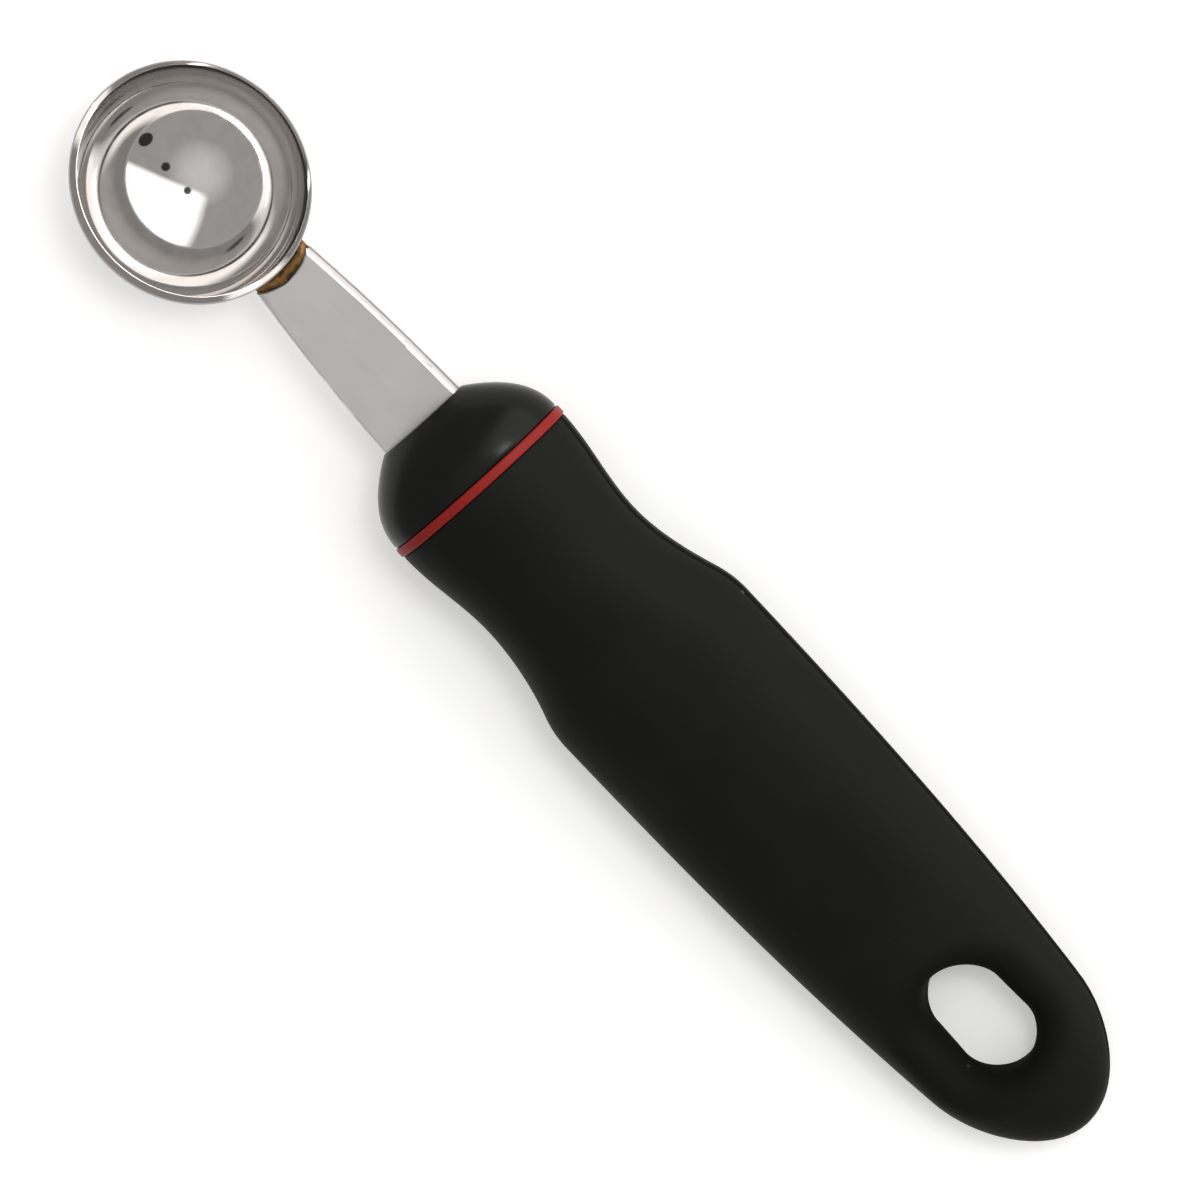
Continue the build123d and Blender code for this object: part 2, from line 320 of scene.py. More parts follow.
def make_braze():
    """Braze bead: at each place across the strip a closed loop runs over the top from the strip to
    the bowl's wall, down the wall, and back below. The top and bottom sag like a wetted fillet and
    climb the wall a little."""
    across = np.linspace(-1, 1, BRAZE_COLUMNS)
    pinch = np.sqrt(np.clip(1 - np.abs(across) ** BRAZE_END_POWER, 0, 1))
    y = across * (STRIP_END_HALF_WIDTH + BRAZE_OVERHANG)
    strip_x = BRAZE_X + BRAZE_ARC_RADIUS - np.sqrt(BRAZE_ARC_RADIUS**2 - y**2) - BRAZE_SPREAD
    wave = BRAZE_WAVE_HEIGHT * np.sin(across * BRAZE_WAVE_TURN + BRAZE_WAVE_START)
    top_z = blend(POCKET_Z, STRIP_TOP, pinch)
    bottom_z = blend(POCKET_Z, STRIP_BOTTOM, pinch)
    highest = top_z + BRAZE_CLIMB * pinch
    lowest = bottom_z - BRAZE_UNDER_CLIMB * pinch

    def wall_x(z):
        """Where the bead meets the bowl's wall at a height, sunk into it a little."""
        return BOWL_X - np.sqrt(BOWL_OUTER**2 - y**2 - (z - BOWL_OUTER) ** 2) - BRAZE_SINK

    rows = []
    shares = []

    def add_row(x, z, share):
        """Adds one row across the strip, kept outside the bowl, with its share of the way."""
        rows.append(np.stack([np.minimum(x, wall_x(z)), y, z], axis=-1))
        shares.append(np.full_like(y, share))

    over = np.linspace(0, 1, BRAZE_ROWS)
    for share in over:
        sag = BRAZE_SAG * np.sin(pi * share) * pinch
        lift = BRAZE_LIFT * pinch * (1 - share) ** 2 * (share > 0)
        z = top_z + lift - sag + BRAZE_CLIMB * pinch * share**BRAZE_CLIMB_POWER
        add_row(blend(strip_x - wave, wall_x(highest), share), z, share)
    for share in between(BRAZE_WALL_ROWS):
        z = blend(highest, lowest, share)
        add_row(wall_x(z), z, 1)
    for share in over[::-1]:
        sag = BRAZE_SAG * np.sin(pi * share) * pinch
        z = bottom_z + sag - BRAZE_UNDER_CLIMB * pinch * share**BRAZE_CLIMB_POWER
        add_row(blend(strip_x, wall_x(lowest), share), z, share)
    loops = np.stack(rows).reshape(-1, 3)
    faces = grid_faces(len(rows), len(y), wrap_rows=True).tolist()
    ends = [list(range(first, len(loops), len(y))) for first in (0, len(y) - 1)]
    share_at = {"bead_share": np.stack(shares)}
    return grid_piece("braze_bead", loops, faces + ends, "braze_joint", share_at)


def smooth_copy(name, node):
    """The node's own surface, merged and shaded smooth across its rounded edges.

    The normal of a corner is the sum of its vertex's face normals, each times its squared area, so
    that the wide flat faces stay flat. Faces that turn away by more than ROUNDED_ANGLE are left
    out, which keeps the sharp edges.
    """
    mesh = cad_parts[node].data.copy()
    mesh.name = name
    mesh.materials.clear()
    weld_seams(mesh, outwards=False)
    limit = cos(radians(ROUNDED_ANGLE))
    normals = [np.array(face.normal) for face in mesh.polygons]
    weights = [(face.area / MM**2) ** 2 for face in mesh.polygons]
    around = [[] for _ in mesh.vertices]
    for face in mesh.polygons:
        for vertex in face.vertices:
            around[vertex].append(face.index)
    corners = []
    for face in mesh.polygons:
        for vertex in face.vertices:
            near = [k for k in around[vertex] if normals[k] @ normals[face.index] > limit]
            total = sum(normals[k] * weights[k] for k in near) + normals[face.index] * TINY
            corners.append((total / np.linalg.norm(total)).tolist())
    mesh.normals_split_custom_set(corners)
    return add_piece(name, mesh, node)


def make_bolster():
    """Bolster: ovals from the spigot over the dome to the nose, whose edge is rounded, then a
    blend from the nose's oval to the strip's pocket, and the pocket's wall back to the spigot."""
    turn = full_turn(BOLSTER_COLUMNS)
    back = RING_X + RING_WIDTH + BOND_GAP
    half_width, half_height, middle = RING_END
    spigot_x = [back - SPIGOT_LENGTH, back]
    inset = DOME_EDGE * np.array([1, CORNER_SHARE])
    share = np.sin(np.linspace(0, pi / 2, DOME_ROWS)) ** DOME_SPACING
    fullness = 1 - share**DOME_POWER
    dome_x = blend(back, NOSE_X, share)
    dome_w = blend(NOSE_HALF_WIDTH, half_width, fullness)
    dome_h = blend(NOSE_HALF_HEIGHT, half_height, fullness)
    dome_z = blend(NOSE_Z, middle, fullness)
    bevel = np.radians(np.linspace(NOSE_SLOPE, 90, NOSE_ROWS))
    bevel_x = NOSE_X - NOSE_ROUND * (1 - np.sin(bevel))
    shrink = NOSE_ROUND * (np.cos(bevel[0]) - np.cos(bevel))
    side_w, side_h, side_z = (np.interp(bevel_x[0], dome_x, size) for size in (dome_w, dome_h, dome_z))
    # The first two places are the softened edge's, and the last ones the nose's own rounding
    open_dome = slice(2, np.count_nonzero(dome_x < bevel_x[0] - NOSE_CLEAR))
    dome = [size[open_dome] for size in (dome_x, dome_w, dome_h, dome_z)]
    rows = [
        oval_rows(spigot_x, half_width - SPIGOT_INSET, half_height - SPIGOT_INSET, middle, turn),
        oval_rows([back, back + inset[1]], half_width - inset, half_height - inset, middle, turn),
        oval_rows(*dome, turn),
        oval_rows(bevel_x, side_w - shrink, side_h - shrink, side_z, turn),
    ]
    mouth = pocket_rows([NOSE_X], POCKET_MOUTH, turn)
    inwards = np.linspace(0, 1, NOSE_FACE_ROWS + 1)[1:, None, None]
    rows.append(blend(rows[-1][-1:], mouth, inwards))
    rows.append(pocket_rows(NOSE_X - POCKET_FROM_NOSE, 0, turn))
    tang_pocket = pocket_rows([NOSE_X - TANG_POCKET_FROM_NOSE, back - SPIGOT_LENGTH], 0, turn)
    tang_pocket[..., 1] *= TANG_POCKET_HALF_WIDTH / POCKET_HALF_WIDTH
    rows.append(tang_pocket)
    return closed_rows("bolster_nose", rows, "bolster")


def make_ring():
    """Accent ring: a rectangle with rounded outer corners carried round the handle's oval."""
    turn = full_turn(RING_COLUMNS)
    half_width, half_height, middle = RING_END
    back, front = RING_X, RING_X + RING_WIDTH - BOND_GAP
    low = RING_PROUD - RING_EDGE
    corner_back = arc_points((back + RING_EDGE, low), RING_EDGE, 180, 90, RING_CORNER_ROWS)
    corner_front = arc_points((front - RING_EDGE, low), RING_EDGE, 90, 0, RING_CORNER_ROWS)
    x, grow = np.vstack([corner_back, corner_front]).T
    bore = FIT_GAP - SPIGOT_INSET
    rows = [
        oval_rows(x, half_width + grow, half_height + grow, middle, turn),
        oval_rows([front, back], half_width + bore, half_height + bore, middle, turn),
    ]
    return closed_rows("red_ring", rows, "accent_ring")


def grip_curve(distance):
    """Half width, half height and middle height of the grip behind the ring.

    A cosine wave narrows it to the waist, a power curve flares it to the shoulder, another tapers
    it to the tail, and half an ellipse closes the last stretch. Behind the shoulder the middle
    height is the half height, so the underside lies on the table.
    """
    d = np.asarray(distance, dtype=float)
    to_waist = eased(np.clip(d / WAIST_FROM_RING, 0, 1))
    flare = np.clip((d - WAIST_FROM_RING) / (SHOULDER_FROM_RING - WAIST_FROM_RING), 0, 1)
    taper = np.clip((d - SHOULDER_FROM_RING) / (CAP_FROM_RING - SHOULDER_FROM_RING), 0, None)
    cap = np.clip((d - CAP_FROM_RING) / (GRIP_LENGTH - CAP_FROM_RING), 0, 1)
    closing = np.sqrt(1 - cap**2)

    def along(size, flare_share, behind):
        """One of the three sizes: to the waist, along the flare, and behind the shoulder."""
        ahead = blend(RING_END[size], WAIST[size], to_waist)
        flared = blend(WAIST[size], SHOULDER[size], flare_share)
        return np.where(d < WAIST_FROM_RING, ahead, np.where(d < SHOULDER_FROM_RING, flared, behind))

    width = along(0, flare**SHOULDER_POWER, blend(SHOULDER[0], CAP[0], taper**TAPER_POWER))
    height = along(1, flare, blend(SHOULDER[1], CAP[1], taper))
    middle = along(2, eased(flare), height)
    middle = np.where(d > CAP_FROM_RING, CAP[2], middle)
    return np.stack([width * closing, height * closing, middle])


def grip_sizes(distance):
    """The same three sizes with the shoulder's corner rounded by a parabola."""
    start = SHOULDER_FROM_RING - SHOULDER_EASE
    end = SHOULDER_FROM_RING + SHOULDER_EASE
    share = np.clip((np.asarray(distance, dtype=float) - start) / (end - start), 0, 1)
    before, corner, after = (grip_curve(d)[:, None] for d in (start, SHOULDER_FROM_RING, end))
    flat = share.reshape(1, -1)
    rounded = blend(blend(before, corner, flat), blend(corner, after, flat), flat)
    rounded = rounded.reshape((3,) + share.shape)
    return np.where((share > 0) & (share < 1), rounded, grip_curve(distance))


def skin_height(x, y, side, inset):
    """Height of the grip's upper (side 1) or lower (side -1) surface above a place in plan."""
    half_width, half_height, middle = grip_sizes(GRIP_X - x)
    ratio = np.clip(y / np.maximum(half_width - inset, TINY), -1, 1)
    return middle + side * (half_height - inset) * np.sqrt(1 - ratio**2)


def slot_lip(from_x, ray_x, ray_y, wall, lip, side, inset):
    """Rolling-ball lip on each ray: plan distance and height from the skin round to the wall.

    On a skin that falls away by an angle, a ball inside the corner touches the wall at its own
    radius from it and the skin at radius x (1 + sine of the angle).
    """

    def skin_along(distance):
        """Height of the skin at a distance along each ray."""
        return skin_height(from_x + ray_x * distance, ray_y * distance, side, inset)

    fall = np.zeros(len(ray_x))
    for _ in range(LIP_TRIES):
        touch = wall + lip * (1 + np.sin(fall))
        fall = np.arctan2(side * (skin_along(touch) - skin_along(touch + LIP_PROBE)), LIP_PROBE)
    touch = wall + lip * (1 + np.sin(fall))
    centre_z = skin_along(touch) - side * lip * np.cos(fall)
    turn = blend(pi / 2 - fall, pi, np.linspace(0, 1, LIP_ROWS)[:, None])
    reach = wall + lip + lip * np.cos(turn)
    height = centre_z + side * lip * np.sin(turn)
    return touch, reach, height


def slot_sheet(border, wall, lip, inset):
    """The slot's surface inside a window's border, from the upper skin down to the lower one.

    Each point of the border sends a ray to the slot's middle line. Along the ray the skin runs in
    to the lip, turns down it, and follows the slot's wall to the lip below.
    """
    centre_x = GRIP_X - SLOT_FROM_RING
    start = np.clip(border[:, 0] - centre_x, -SLOT_HALF_STRAIGHT, SLOT_HALF_STRAIGHT)
    away = np.stack([border[:, 0] - centre_x - start, border[:, 1]], axis=1)
    length = np.linalg.norm(away, axis=1)
    ray_x, ray_y = (away / length[:, None]).T
    from_x = centre_x + start
    halves = []
    for side in (1, -1):
        touch, reach, height = slot_lip(from_x, ray_x, ray_y, wall, lip, side, inset)
        run = blend(length, touch, np.linspace(0, 1, RUN_ROWS + 1)[:-1, None])
        run_x = from_x + ray_x * run
        run_y = ray_y * run
        skin = np.stack([run_x, run_y, skin_height(run_x, run_y, side, inset)], axis=-1)
        rounded = np.stack([from_x + ray_x * reach, ray_y * reach, height], axis=-1)
        halves.append(np.concatenate([skin, rounded])[::side])
    top, bottom = halves
    between_lips = blend(top[-1:], bottom[:1], between(WALL_ROWS)[:, None, None])
    return np.concatenate([top, between_lips, bottom])


def handle_skin(inset, wall, lip, stations, window_rows, columns, edge):
    """The grip's whole surface as ovals, with a window above and below filled by the slot's sheet.

    With an edge, it is the outer skin: its front edge is rounded and it has the parting ridge. It
    also gives each vertex its share of painted shade, a deeper black: it grows down the slot's lip,
    is whole on the slot's wall, and on the outer skin is whole beside the ridge.
    """
    turn = full_turn(columns)
    half_width, half_height, middle = grip_sizes(stations)
    from_edge = np.clip(edge - stations, 0, edge)
    drawn = inset + edge - np.sqrt(np.clip(edge**2 - from_edge**2, 0, None))
    half_width_drawn = np.maximum(half_width - drawn, 0)
    half_height_drawn = np.maximum(half_height - drawn, 0)
    rings = oval_rows(GRIP_X - stations, half_width_drawn, half_height_drawn, middle, turn)
    rows = len(stations)
    half_turn = columns // 2
    painted_shade = np.zeros((rows, columns))
    if edge:
        # The mould's two halves leave a fine raised line along both flanks
        ridge = PARTING_RIDGE * np.clip(half_width / CAP[1], 0, 1)
        rings[:, 0, 1] += ridge
        rings[:, half_turn, 1] -= ridge
        # Painted shade: a deeper black on the two columns beside each ridge, for the shade along the parting
        # line's foot
        painted_shade[:, [1, 2, half_turn - 2, half_turn - 1]] = 1
    low, high = window_rows
    quarter = columns // 4
    reach = int(columns * WINDOW_SHARE)
    keep = np.ones((rows - 1, columns), dtype=bool)
    for centre in (quarter, 3 * quarter):
        keep[low:high, centre - reach:centre + reach] = False
    left, right = quarter - reach, quarter + reach
    border = (
        [(low, c) for c in range(left, right)]
        + [(r, right) for r in range(low, high)]
        + [(high, c) for c in range(right, left, -1)]
        + [(r, left) for r in range(high, low, -1)]
    )
    sheet = slot_sheet(np.array([rings[r, c] for r, c in border]), wall, lip, inset)
    from_ends = np.minimum(np.arange(len(sheet)), np.arange(len(sheet))[::-1])
    # Painted shade grows down the slot's lip and is whole on the slot's wall
    down_lip = np.clip((from_ends - RUN_ROWS) / (LIP_ROWS - 1), 0, 1)
    vertices = np.concatenate([rings.reshape(-1, 3), sheet.reshape(-1, 3)])
    ring_faces = grid_faces(rows, columns, wrap_columns=True)[keep.ravel()]
    sheet_faces = grid_faces(*sheet.shape[:2], first=rows * columns, wrap_columns=True)
    faces = np.concatenate([ring_faces, sheet_faces])
    return vertices, faces, np.concatenate([painted_shade.ravel(), np.repeat(down_lip, sheet.shape[1])])


def make_grip():
    """Soft grip: the outer skin, the bore that holds the core, and the rim between them."""
    front = np.linspace(EDGE_END, WINDOW_START - WINDOW_GAP, FRONT_ROWS)
    front = np.concatenate([EDGE_PLACES, front])
    window = np.linspace(WINDOW_START, WINDOW_END, WINDOW_ROWS)
    cap_length = GRIP_LENGTH - CAP_FROM_RING
    cap_start = np.arcsin((WINDOW_END - CAP_FROM_RING) / cap_length)
    tail_turn = np.linspace(cap_start, pi / 2, TAIL_ROWS + 1)[1:]
    tail = CAP_FROM_RING + cap_length * np.sin(tail_turn)
    stations = np.concatenate([front, window, tail])
    rows = (len(front), len(front) + len(window) - 1)
    outer, outer_faces, outer_painted_shade = handle_skin(
        0.0, SLOT_WALL, SLOT_LIP, stations, rows, GRIP_COLUMNS, GRIP_EDGE
    )
    front = np.linspace(0.0, WINDOW_START - WINDOW_GAP, BORE_FRONT_ROWS)
    window = np.linspace(WINDOW_START, CORE_WINDOW_END, BORE_WINDOW_ROWS)
    stations = np.concatenate([front, window, [CORE_END]])
    rows = (len(front), len(front) + len(window) - 1)
    bore, bore_faces, bore_painted_shade = handle_skin(
        GRIP_WALL - BOND_GAP, SLOT_CORE_WALL, SLOT_CORE_LIP, stations, rows, BORE_COLUMNS, 0
    )
    first = len(outer)
    bore_end = first + (len(stations) - 1) * BORE_COLUMNS + np.arange(BORE_COLUMNS)
    faces = outer_faces.tolist() + (bore_faces + first).tolist() + [bore_end.tolist()]
    # The rim joins 160 outer points to 96 bore points, five to three
    for group in range(BORE_COLUMNS // 3):
        o = [(group * 5 + k) % GRIP_COLUMNS for k in range(6)]
        b = [first + (group * 3 + k) % BORE_COLUMNS for k in range(4)]
        faces += [
            [o[0], b[0], b[1], o[1]],
            [o[1], b[1], o[2]],
            [o[2], b[1], b[2], o[3]],
            [o[3], b[2], o[4]],
            [o[4], b[2], b[3], o[5]],
        ]
    vertices = np.concatenate([outer, bore])
    # The bore gets painted shade all over
    painted_shade = {"painted_shade": np.concatenate([outer_painted_shade, np.ones_like(bore_painted_shade)])}
    return grid_piece("grip_skin", vertices, faces, "grip_sleeve", painted_shade)


def linear(hex_code):
    """Linear colour of an sRGB hex code, by the standard's own curve."""
    channels = [int(hex_code[i:i + 2], 16) / 255 for i in (1, 3, 5)]
    return [c / 12.92 if c <= 0.04045 else ((c + 0.055) / 1.055) ** 2.4 for c in channels] + [1.0]


def pattern_scale(size):
    """Texture scale for a pattern whose features have a size in millimetres."""
    return 1 / (size * MM)


def feed(tree, socket, value):
    """Links a socket to the output given as its value, or sets the value itself."""
    if isinstance(value, bpy.types.NodeSocket):
        tree.links.new(value, socket)
    else:
        socket.default_value = value


def add_node(tree, kind, inputs=(), out=0, stops=(), **properties):
    """Adds a node and gives one of its outputs, by name or number.

    Inputs are values or the outputs of other nodes, in the order of the sockets or by name, and by
    number where names repeat. Stops are a colour ramp's places and hex codes.
    """
    node = tree.nodes.new(kind)
    for key, value in properties.items():
        setattr(node, key, value)
    for key, value in inputs.items() if isinstance(inputs, dict) else enumerate(inputs):
        feed(tree, node.inputs[key], value)
    while stops and len(node.color_ramp.elements) < len(stops):
        node.color_ramp.elements.new(0.5)
    for step, (place, code) in enumerate(stops):
        node.color_ramp.elements[step].position = place
        node.color_ramp.elements[step].color = linear(code)
    return node.outputs[out]


def new_material(name):
    """A material with one Principled shader, and its node tree."""
    material = bpy.data.materials.new(name)
    material.use_nodes = True
    return material, material.node_tree


def set_shader(tree, values):
    """Sets the Principled shader's sockets by name, or links them where the value is an output."""
    for key, value in values.items():
        feed(tree, tree.nodes["Principled BSDF"].inputs[key], value)


# Most values of a noise lie between these two
NOISE_LOW = 0.3
NOISE_HIGH = 0.7
NOISE_SPAN = (NOISE_LOW, NOISE_HIGH)


def polished_steel():
    """Pressed stainless steel, buffed to a mirror: it shows the studio round it, barely softened.

    A buffed bowl keeps shallow press waves of about 6 mm, and clouds of finer and coarser buffing
    of about 2.4 mm, which soften the reflections here and there.
    """
    material, tree = new_material("buffed_stainless_steel")
    place = add_node(tree, "ShaderNodeTexCoord", out="Object")
    waves = {"Vector": place, "Scale": pattern_scale(6.25), "Detail": 1.0}
    clouds = {"Vector": place, "Scale": pattern_scale(2.381), "Detail": 3.0}
    wave = add_node(tree, "ShaderNodeTexNoise", waves)
    cloud = add_node(tree, "ShaderNodeTexNoise", clouds)
    stops = [(NOISE_LOW, "#CDC9C7"), (NOISE_HIGH, "#D4D1CF")]
    set_shader(tree, {
        "Metallic": 0.96,
        "Base Color": add_node(tree, "ShaderNodeValToRGB", (cloud,), stops=stops),
        "Roughness": add_node(tree, "ShaderNodeMapRange", (cloud, *NOISE_SPAN, 0.035, 0.075)),
        "Normal": add_node(tree, "ShaderNodeBump", {"Strength": 0.12, "Distance": 0.04 * MM, "Height": wave}),
    })
    return material


def satin_steel():
    """Stamped stainless strip with a tumbled satin face: an even soft grey without clear images.

    Tumbling leaves a grit of about 0.2 mm and faint rolling streaks, 0.4 mm wide and 8 mm long,
    along the strip. Its side is painted greyer below the middle of its height: painted shade of the
    shadowed floor that its lower edge reflects.
    """
    material, tree = new_material("tumbled_stainless_strip")
    place = add_node(tree, "ShaderNodeTexCoord", out="Object")
    along = add_node(tree, "ShaderNodeMapping", {"Vector": place, "Scale": (0.05, 1.0, 1.0)})
    grits = {"Vector": place, "Scale": pattern_scale(0.2), "Detail": 2.0}
    streaks = {"Vector": along, "Scale": pattern_scale(0.3846), "Detail": 3.0}
    clouds = {"Vector": place, "Scale": pattern_scale(6.667), "Detail": 2.0}
    grit = add_node(tree, "ShaderNodeTexNoise", grits)
    streak = add_node(tree, "ShaderNodeTexNoise", streaks)
    cloud = add_node(tree, "ShaderNodeTexNoise", clouds)
    stops = [(NOISE_LOW, "#D6D3D2"), (NOISE_HIGH, "#DCD9D8")]
    steel = add_node(tree, "ShaderNodeValToRGB", (cloud,), stops=stops)
    height = add_node(tree, "ShaderNodeSeparateXYZ", (place,), out="Z")
    level = add_node(tree, "ShaderNodeMapRange", (height, STRIP_BOTTOM * MM, STRIP_TOP * MM, 0.0, 1.0))
    # Painted shade: the side turns greyer from just above its bottom edge to a little below its middle, for
    # the shadowed floor seen in its lower edge
    stops = [(0.0, "#FFFFFF"), (0.04, SIDE_SHADE_GREY), (0.44, SIDE_SHADE_GREY), (0.56, "#FFFFFF")]
    side_shade = add_node(tree, "ShaderNodeValToRGB", (level,), stops=stops)
    mixed = {0: 1.0, 6: steel, 7: side_shade}
    set_shader(tree, {
        "Metallic": 1.0,
        "Base Color": add_node(tree, "ShaderNodeMix", mixed, 2, data_type="RGBA", blend_type="MULTIPLY"),
        "Roughness": add_node(tree, "ShaderNodeMapRange", (streak, *NOISE_SPAN, 0.40, 0.50)),
        "Normal": add_node(tree, "ShaderNodeBump", {"Strength": 0.15, "Distance": 0.01 * MM, "Height": grit}),
    })
    return material


def braze_metal():
    """Brass brazing filler left as it froze: golden in the middle, dark flux burn at the strip's edge, and
    painted shade of the bowl's rim darkening it towards the bowl's wall.

    Stains of about 0.8 mm shift the colours, and make it duller and slightly lumpy.
    """
    material, tree = new_material("brass_braze")
    place = add_node(tree, "ShaderNodeTexCoord", out="Object")
    share = add_node(tree, "ShaderNodeAttribute", out="Fac", attribute_name="bead_share")
    stains = {"Vector": place, "Scale": pattern_scale(0.7692), "Detail": 4.0}
    stain = add_node(tree, "ShaderNodeTexNoise", stains)
    shift = add_node(tree, "ShaderNodeMapRange", (stain, *NOISE_SPAN, -0.16, 0.16))
    moved = add_node(tree, "ShaderNodeMath", (share, shift), operation="ADD")
    # The ramp runs from the strip's edge (0) to the bowl's wall (1): dark flux burn at the strip, golden in
    # the middle, and painted shade of the rim's overhang, darkest at the wall
    stops = [(0.0, "#2A1D11"), (0.18, "#5C4420"), (0.42, "#8C6831"), (0.66, "#583E1C"), (0.84, "#1C140C")]
    set_shader(tree, {
        "Metallic": 0.6,
        "Base Color": add_node(tree, "ShaderNodeValToRGB", (moved,), stops=stops),
        "Roughness": add_node(tree, "ShaderNodeMapRange", (stain, *NOISE_SPAN, 0.42, 0.65)),
        "Normal": add_node(tree, "ShaderNodeBump", {"Strength": 0.5, "Distance": 0.04 * MM, "Height": stain}),
    })
    return material


def moulded_plastic(name, colours, gloss, grain, grain_height, specular=0.5):
    """Injection-moulded plastic: a matte skin whose fine mould grain breaks up the highlights.

    The mould's spark-eroded grain is about 0.15 mm, too fine to show. It is drawn coarser, at the
    grain given in millimetres. Slight clouds of about 11 mm vary the colour and the gloss.
    """
    material, tree = new_material(name)
    place = add_node(tree, "ShaderNodeTexCoord", out="Object")
    grains = {"Vector": place, "Scale": pattern_scale(grain), "Detail": 2.0}
    clouds = {"Vector": place, "Scale": pattern_scale(11.11), "Detail": 3.0}
    pits = add_node(tree, "ShaderNodeTexNoise", grains)
    cloud = add_node(tree, "ShaderNodeTexNoise", clouds)
    bump = {"Strength": 0.3, "Distance": grain_height * MM, "Height": pits}
    set_shader(tree, {
        "Specular IOR Level": specular,
        "Base Color": add_node(tree, "ShaderNodeValToRGB", (cloud,), stops=list(zip(NOISE_SPAN, colours))),
        "Roughness": add_node(tree, "ShaderNodeMapRange", (cloud, *NOISE_SPAN, *gloss)),
        "Normal": add_node(tree, "ShaderNodeBump", bump),
    })
    return material


def soft_grip_rubber():
    """Thermoplastic elastomer overmould: nearly black, dull and slightly dusty.

    Dust specks of about 0.4 mm sit on it, one in every few square centimetres. The hanging slot's
    lip and wall and the foot of the parting line get painted shade, a deeper black, and are made
    duller.
    """
    material = moulded_plastic("tpe_soft_grip", ("#121311", "#161715"), (0.50, 0.60), 0.18, 0.02, 0.07)
    tree = material.node_tree
    inputs = tree.nodes["Principled BSDF"].inputs
    colour, roughness = (inputs[key].links[0].from_socket for key in ("Base Color", "Roughness"))
    place = add_node(tree, "ShaderNodeTexCoord", out="Object")
    specks = {"Vector": place, "Scale": pattern_scale(3.846)}
    chosen = {"Vector": place, "Scale": pattern_scale(10.526), "Detail": 0.0}
    speck = add_node(tree, "ShaderNodeTexVoronoi", specks)
    choice = add_node(tree, "ShaderNodeTexNoise", chosen)
    near = add_node(tree, "ShaderNodeMapRange", (speck, 0.03, 0.075, 1.0, 0.0))
    rare = add_node(tree, "ShaderNodeMapRange", (choice, 0.60, 0.66, 0.0, 0.85))
    dust = add_node(tree, "ShaderNodeMath", (near, rare), operation="MULTIPLY")
    dusty = add_node(tree, "ShaderNodeMix", {0: dust, 6: colour, 7: linear("#6E706C")}, 2, data_type="RGBA")
    # Painted shade: where the mask is whole, the rubber is mixed to a deeper black, and it is also made
    # duller
    painted_shade = add_node(tree, "ShaderNodeAttribute", out="Fac", attribute_name="painted_shade")
    deep = add_node(tree, "ShaderNodeMix", {0: painted_shade, 6: dusty, 7: linear("#0A0B09")}, 2, data_type="RGBA")
    duller = add_node(tree, "ShaderNodeMath", (painted_shade, 0.3), operation="MULTIPLY")
    dull = add_node(tree, "ShaderNodeMath", (roughness, duller), operation="ADD")
    set_shader(tree, {"Base Color": deep, "Roughness": dull})
    return material


def dress_pieces():
    """Makes every piece and gives it its material."""
    nose = moulded_plastic("moulded_abs_bolster", ("#111210", "#151613"), (0.20, 0.28), 0.25, 0.01, 0.12)
    red = moulded_plastic("moulded_abs_red", ("#7D1E1B", "#86231F"), (0.36, 0.46), 0.3, 0.01, 0.1)
    core = moulded_plastic("moulded_polypropylene_core", ("#3A3B3A", "#424342"), (0.45, 0.55), 0.3, 0.02)
    make_bowl().data.materials.append(polished_steel())
    make_braze().data.materials.append(braze_metal())
    make_bolster().data.materials.append(nose)
    make_ring().data.materials.append(red)
    make_grip().data.materials.append(soft_grip_rubber())
    smooth_copy("stamped_strip", "shank").data.materials.append(satin_steel())
    for node in ("core_lower", "core_upper"):
        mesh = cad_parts[node].data
        mesh.materials.clear()
        mesh.materials.append(core)


# Studio, in metres. Directions are given along the picture's right, its up and towards its camera
SWEEP_HALF = 3.0
SWEEP_DROP = 0.0002
SWEEP_GLOW = 0.25
CEILING_LOW = 0.44
CEILING_HIGH = 0.80
CEILING_SPAN = (0.84, 1.0)
WALL_GLOW = 2.5
WALL_EDGES = [((0.924, -0.183, 0.336), (-0.04, 0.18)), ((0.372, 0.928, -0.014), (-0.09, 0.02))]
DARK_THINGS = [((0.0, 0.0, 1.0), 3.6), ((0.341, -0.376, 0.862), 4.2), ((0.569, -0.701, 0.429), 6.5)]
DARK_LEVEL = 0.02
DARK_BLUR = 0.0006
KEY_WAY = (0.15, 0.12, 0.98)
KEY_AIM = Vector((0, 0, 0.01))
KEY_DISTANCE = 0.9
KEY_SIZE = 0.18
KEY_POWER = 1.4

# The photograph's view: its middle pixel, scale and the tool's direction in it
IMAGE_SIZE = 1200
PIXEL = 0.1267
RING_PIXEL = (480.0, 481.5)
RING_PLACE_X = 22.4
TOOL_TURN = 47.38
CAMERA_DISTANCE = 1150.0
CAMERA_TILT = 21.0
CAMERA_LEAN = 4.0
CAMERA_NEAR = 0.05
SENSOR = 36.0


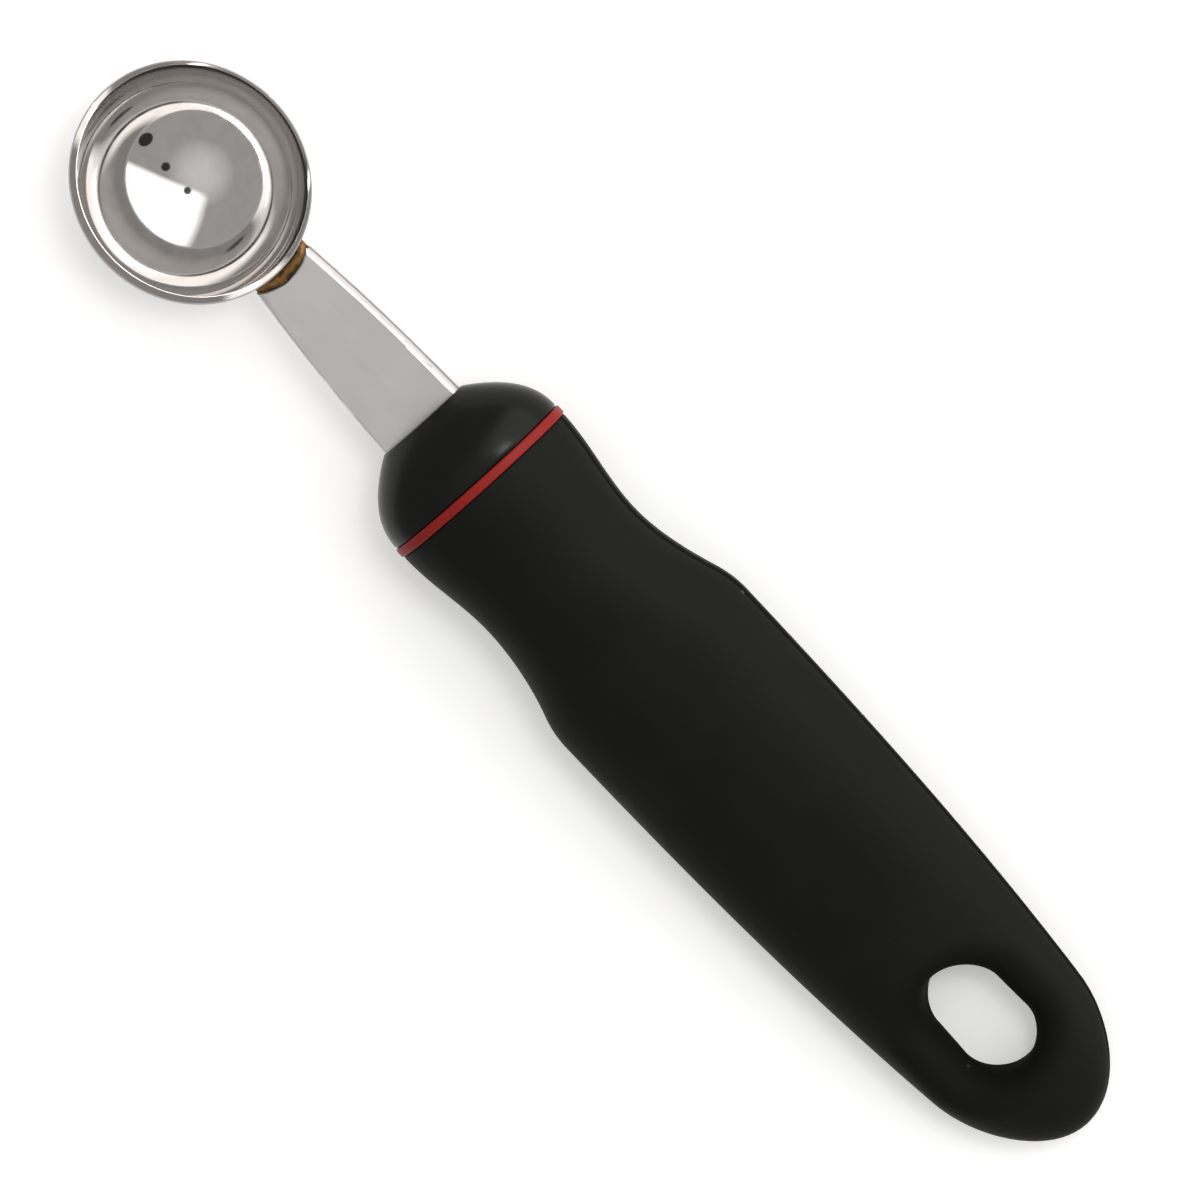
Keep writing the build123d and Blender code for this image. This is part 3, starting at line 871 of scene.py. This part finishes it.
def place_camera():
    """Camera on the tool's near side, leaning towards the bowl, with the tool across the frame.

    Gives the picture's right, its up and the way towards the camera.
    """
    tilt, lean = radians(CAMERA_TILT), radians(CAMERA_LEAN)
    away = Vector((sin(lean), -sin(tilt) * cos(lean), cos(tilt) * cos(lean))).normalized()
    along = Vector((1, 0, 0))
    along = (along - away * along.dot(away)).normalized()
    side = away.cross(along)
    turn = radians(180 - TOOL_TURN)
    right = along * cos(turn) - side * sin(turn)
    up = along * sin(turn) + side * cos(turn)
    ring_right, ring_down = ((pixel - IMAGE_SIZE / 2) * PIXEL for pixel in RING_PIXEL)
    target = Vector((RING_PLACE_X, 0, RING_END[2])) - right * ring_right + up * ring_down
    data = bpy.data.cameras.new("camera")
    data.sensor_width = SENSOR
    data.lens = SENSOR * CAMERA_DISTANCE / (IMAGE_SIZE * PIXEL)
    data.clip_start = CAMERA_NEAR
    camera = add_object("camera", data)
    place = Matrix.Translation((target + away * CAMERA_DISTANCE) * MM)
    camera.matrix_world = place @ Matrix((right, up, away)).transposed().to_4x4()
    bpy.context.scene.camera = camera
    return right, up, away


def white_sweep():
    """Matte white paper sweep. Camera, glossy and transmitted rays see a little glow added to it,
    so that the open paper is pure white and the shadow stays."""
    material, tree = new_material("white_paper_sweep")
    names = ("Is Camera Ray", "Is Glossy Ray", "Is Transmission Ray")
    camera_ray, glossy_ray, clear_ray = (add_node(tree, "ShaderNodeLightPath", out=name) for name in names)
    seen = add_node(tree, "ShaderNodeMath", (camera_ray, glossy_ray), operation="MAXIMUM")
    seen = add_node(tree, "ShaderNodeMath", (seen, clear_ray), operation="MAXIMUM")
    set_shader(tree, {
        "Roughness": 0.9,
        "Base Color": linear("#F4F4F4"),
        "Emission Color": linear("#FFFFFF"),
        "Emission Strength": add_node(tree, "ShaderNodeMath", (seen, SWEEP_GLOW), operation="MULTIPLY"),
    })
    mesh = bpy.data.meshes.new("floor")
    corners = [(x * SWEEP_HALF, y * SWEEP_HALF, 0) for x, y in ((-1, -1), (1, -1), (1, 1), (-1, 1))]
    mesh.from_pydata(corners, [], [(0, 1, 2, 3)])
    mesh.materials.append(material)
    floor = add_object("floor", mesh)
    floor.location.z = -SWEEP_DROP


def key_softbox(place, aim):
    """Square softbox that faces its aim."""
    data = bpy.data.lights.new("key_softbox", "AREA")
    data.size = KEY_SIZE
    data.energy = KEY_POWER
    lamp = add_object("key_softbox", data)
    lamp.location = place
    lamp.rotation_euler = (aim - place).to_track_quat("-Z", "Y").to_euler()


def studio(right, up, away):
    """Grey room with one white wall at the picture's upper right, and the key softbox before it.

    The room's light is the sum of its parts seen along a direction: a grey ceiling that is palest
    overhead, and the white wall between two upright edges. Three small dark things of the set take
    the light away.
    """

    def way(r, u, a):
        """Direction given along the picture's right, its up and towards its camera."""
        return (right * r + up * u + away * a).normalized()

    world = bpy.data.worlds.new("studio")
    bpy.context.scene.world = world
    world.use_nodes = True
    tree = world.node_tree
    seen = add_node(tree, "ShaderNodeTexCoord", out="Generated")

    def facing(direction, low, high, span):
        """Value spread over a span of the cosine between the seen direction and another."""
        pair = (seen, direction)
        cosine = add_node(tree, "ShaderNodeVectorMath", pair, "Value", operation="DOT_PRODUCT")
        return add_node(tree, "ShaderNodeMapRange", (cosine, *span, low, high))

    ceiling = facing((0, 0, 1), CEILING_LOW, CEILING_HIGH, CEILING_SPAN)
    edges = [facing(way(*edge), 0.0, 1.0, soft) for edge, soft in WALL_EDGES]
    wall = add_node(tree, "ShaderNodeMath", edges, operation="MULTIPLY")
    glow = add_node(tree, "ShaderNodeMath", (wall, WALL_GLOW), operation="MULTIPLY")
    open_share = add_node(tree, "ShaderNodeMath", (1.0, wall), operation="SUBTRACT")
    rest = add_node(tree, "ShaderNodeMath", (open_share, ceiling), operation="MULTIPLY")
    light = add_node(tree, "ShaderNodeMath", (glow, rest), operation="ADD")
    for place, half_angle in DARK_THINGS:
        edge = cos(radians(half_angle))
        dark = facing(way(*place), 1.0, DARK_LEVEL, (edge - DARK_BLUR, edge + DARK_BLUR))
        light = add_node(tree, "ShaderNodeMath", (light, dark), operation="MULTIPLY")
    background = tree.nodes["Background"]
    feed(tree, background.inputs["Strength"], light)
    feed(tree, background.inputs["Color"], linear("#FFFEFC"))
    key_softbox(KEY_AIM + way(*KEY_WAY) * KEY_DISTANCE, KEY_AIM)


picture_right, picture_up, picture_away = place_camera()
white_sweep()
studio(picture_right, picture_up, picture_away)
dress_pieces()

bpy.context.scene.view_settings.view_transform = "Standard"
